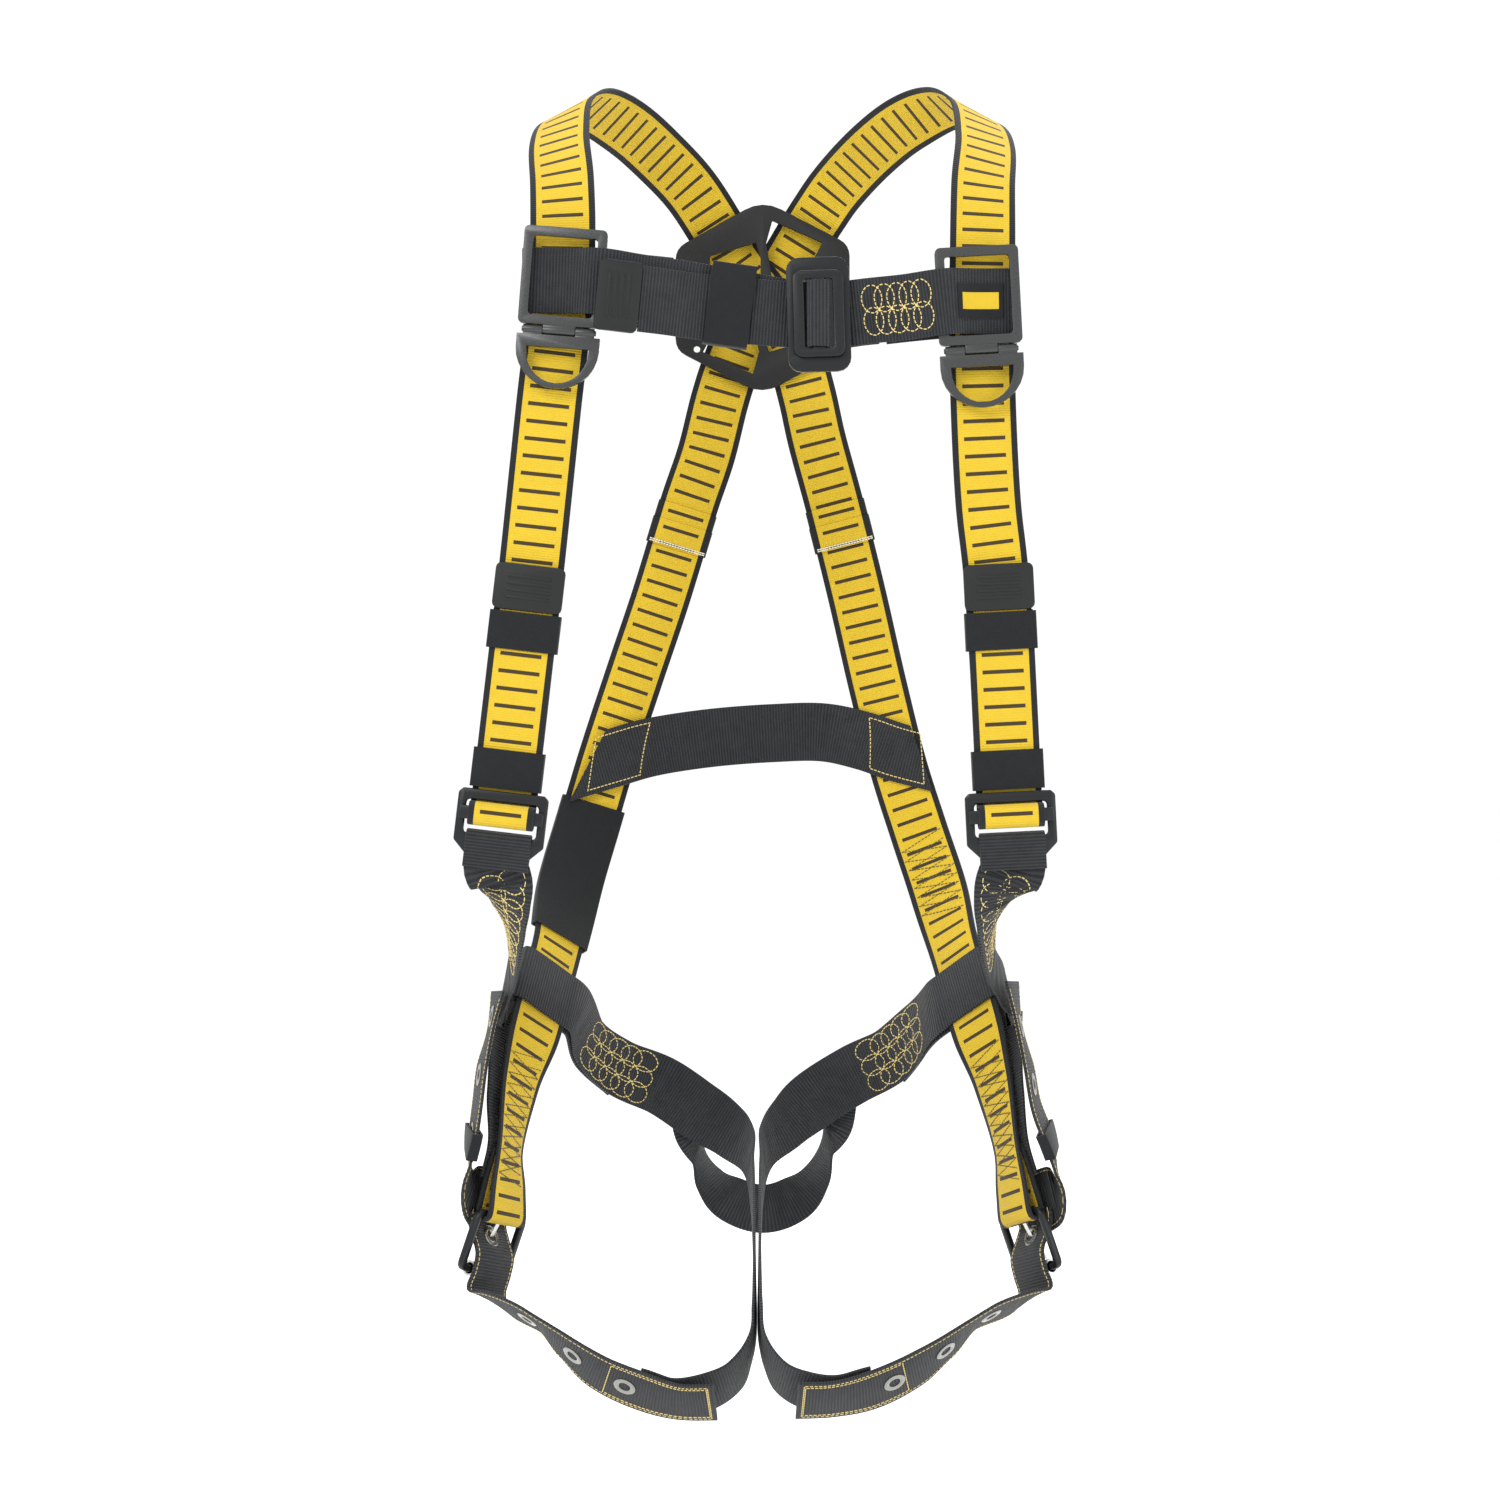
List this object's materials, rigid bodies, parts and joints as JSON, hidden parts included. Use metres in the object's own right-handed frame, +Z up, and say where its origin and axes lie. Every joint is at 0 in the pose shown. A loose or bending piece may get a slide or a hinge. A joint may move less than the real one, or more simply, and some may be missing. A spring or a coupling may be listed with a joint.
{
  "type": "full-body safety harness",
  "caption": "Full-body fall-arrest harness of webbing straps with a back D-ring on a pad, hinged rings at the chest links, a chest buckle, sliding torso buckles and tongue-buckled leg straps.",
  "frame": {"origin": "the middle of the wearer's torso, between the front and back straps at navel height", "axes": "+Z up along the wearer, +X to the wearer's left, -Y to the wearer's front"},
  "size_m": [0.4282, 0.2948, 0.9502],
  "materials": {
    "main_webbing": "matte woven",
    "black_webbing": "matte woven",
    "black_fabric": "matte",
    "elastic": "matte ribbed",
    "moulded_plastic": "satin",
    "grey_steel": "satin metallic",
    "black_steel": "satin",
    "zinc_steel": "satin",
    "grommet_steel": "satin"
  },
  "bodies": {
    "harness": {"right_main_strap": "main_webbing", "left_main_strap": "main_webbing", "right_hip_strap": "black_webbing", "left_hip_strap": "black_webbing", "right_seat_strap": "black_webbing", "left_seat_strap": "black_webbing", "right_leg_strap": "black_webbing", "left_leg_strap": "black_webbing", "lumbar_strap": "black_webbing", "sub_pelvic_strap": "black_webbing", "right_chest_strap": "black_webbing", "left_chest_strap": "black_webbing", "right_grommet_1": "grommet_steel", "right_grommet_2": "grommet_steel", "right_grommet_3": "grommet_steel", "right_grommet_4": "grommet_steel", "right_grommet_5": "grommet_steel", "right_grommet_6": "grommet_steel", "right_grommet_7": "grommet_steel", "left_grommet_1": "grommet_steel", "left_grommet_2": "grommet_steel", "left_grommet_3": "grommet_steel", "left_grommet_4": "grommet_steel", "left_grommet_5": "grommet_steel", "left_grommet_6": "grommet_steel", "left_grommet_7": "grommet_steel", "dorsal_pad": "moulded_plastic", "right_torso_end_cap": "moulded_plastic", "left_torso_end_cap": "moulded_plastic", "chest_end_cap": "moulded_plastic", "right_chest_link": "grey_steel", "left_chest_link": "grey_steel", "right_ring_pin": "grey_steel", "left_ring_pin": "grey_steel", "chest_buckle_frame": "black_steel", "right_torso_buckle": "black_steel", "left_torso_buckle": "black_steel", "label_sleeve": "black_fabric", "chest_patch": "black_fabric"},
    "dorsal_ring": {"dorsal_ring": "grey_steel"},
    "right_lanyard_ring": {"right_lanyard_ring": "grey_steel"},
    "left_lanyard_ring": {"left_lanyard_ring": "grey_steel"},
    "chest_plate": {"chest_buckle_plate": "black_steel"},
    "right_slide_bar": {"right_torso_slide_bar": "black_steel"},
    "right_upper_keeper": {"right_upper_keeper": "elastic"},
    "right_lower_keeper": {"right_lower_keeper": "elastic"},
    "left_slide_bar": {"left_torso_slide_bar": "black_steel"},
    "left_upper_keeper": {"left_upper_keeper": "elastic"},
    "left_lower_keeper": {"left_lower_keeper": "elastic"},
    "right_leg_buckle": {"right_leg_buckle": "black_steel"},
    "right_leg_tongue": {"right_leg_tongue": "zinc_steel"},
    "right_leg_roller": {"right_leg_roller": "zinc_steel"},
    "left_leg_buckle": {"left_leg_buckle": "black_steel"},
    "left_leg_tongue": {"left_leg_tongue": "zinc_steel"},
    "left_leg_roller": {"left_leg_roller": "zinc_steel"},
    "right_leg_keeper": {"right_leg_keeper": "elastic"},
    "left_leg_keeper": {"left_leg_keeper": "elastic"},
    "chest_keeper": {"chest_keeper": "elastic"}
  },
  "joints": [
    {"name": "dorsal_ring_swing", "type": "hinge", "parent": "harness", "child": "dorsal_ring", "pos_m": [0.0024, 0.1278, 0.349], "axis": [1, 0, 0], "range_deg": [0, 95]},
    {"name": "right_ring_swing", "type": "hinge", "parent": "harness", "child": "right_lanyard_ring", "pos_m": [-0.13785, -0.118, 0.28631], "axis": [-0.997, 0, 0.077], "range_deg": [0, 75]},
    {"name": "left_ring_swing", "type": "hinge", "parent": "harness", "child": "left_lanyard_ring", "pos_m": [0.15072, -0.118, 0.27355], "axis": [-0.9986, 0, -0.052], "range_deg": [0, 75]},
    {"name": "chest_plate_rock", "type": "hinge", "parent": "harness", "child": "chest_plate", "pos_m": [0.0395, -0.1262, 0.297], "axis": [-0.03, 0, 0.9995], "range_deg": [-1.2, 1.2]},
    {"name": "right_slide_bar_travel", "type": "slide", "parent": "harness", "child": "right_slide_bar", "axis": [0.117, 0, 0.9931], "range_m": [-0.0005, 0.0005]},
    {"name": "right_upper_keeper_slide", "type": "slide", "parent": "harness", "child": "right_upper_keeper", "axis": [0.117, 0, 0.9931], "range_m": [-0.032, 0]},
    {"name": "right_lower_keeper_slide", "type": "slide", "parent": "harness", "child": "right_lower_keeper", "axis": [0.117, 0, 0.9931], "range_m": [0, 0.032]},
    {"name": "left_slide_bar_travel", "type": "slide", "parent": "harness", "child": "left_slide_bar", "axis": [-0.05, 0, 0.9987], "range_m": [-0.0005, 0.0005]},
    {"name": "left_upper_keeper_slide", "type": "slide", "parent": "harness", "child": "left_upper_keeper", "axis": [-0.05, 0, 0.9987], "range_m": [-0.032, 0]},
    {"name": "left_lower_keeper_slide", "type": "slide", "parent": "harness", "child": "left_lower_keeper", "axis": [-0.05, 0, 0.9987], "range_m": [0, 0.032]},
    {"name": "right_leg_buckle_tilt", "type": "hinge", "parent": "harness", "child": "right_leg_buckle", "pos_m": [-0.18436, -0.03961, -0.33169], "axis": [0.5113, 0.8221, -0.2506], "range_deg": [-0.4, 0.4]},
    {"name": "right_leg_tongue_swing", "type": "hinge", "parent": "right_leg_buckle", "child": "right_leg_tongue", "pos_m": [-0.18436, -0.03961, -0.33169], "axis": [0.5113, 0.8221, -0.2506], "range_deg": [-0.5, 0.5]},
    {"name": "right_leg_roller_spin", "type": "hinge", "parent": "right_leg_buckle", "child": "right_leg_roller", "pos_m": [-0.19684, -0.04339, -0.36951], "axis": [0.5113, 0.8221, -0.2506], "continuous": true},
    {"name": "left_leg_buckle_tilt", "type": "hinge", "parent": "harness", "child": "left_leg_buckle", "pos_m": [0.18581, -0.03796, -0.33152], "axis": [0.4224, -0.8548, 0.3017], "range_deg": [-0.4, 0.4]},
    {"name": "left_leg_tongue_swing", "type": "hinge", "parent": "left_leg_buckle", "child": "left_leg_tongue", "pos_m": [0.18581, -0.03796, -0.33152], "axis": [0.4224, -0.8548, 0.3017], "range_deg": [-0.5, 0.5]},
    {"name": "left_leg_roller_spin", "type": "hinge", "parent": "left_leg_buckle", "child": "left_leg_roller", "pos_m": [0.19819, -0.04503, -0.36889], "axis": [0.4224, -0.8548, 0.3017], "continuous": true},
    {"name": "right_leg_keeper_slide", "type": "slide", "parent": "harness", "child": "right_leg_keeper", "axis": [0.139, 0.0095, 0.9902], "range_m": [-0.003, 0.003]},
    {"name": "left_leg_keeper_slide", "type": "slide", "parent": "harness", "child": "left_leg_keeper", "axis": [-0.2866, 0.0059, 0.958], "range_m": [-0.003, 0.003]},
    {"name": "chest_keeper_slide", "type": "slide", "parent": "harness", "child": "chest_keeper", "axis": [0.9902, 0.0462, -0.132], "range_m": [-0.004, 0.004]}
  ]
}
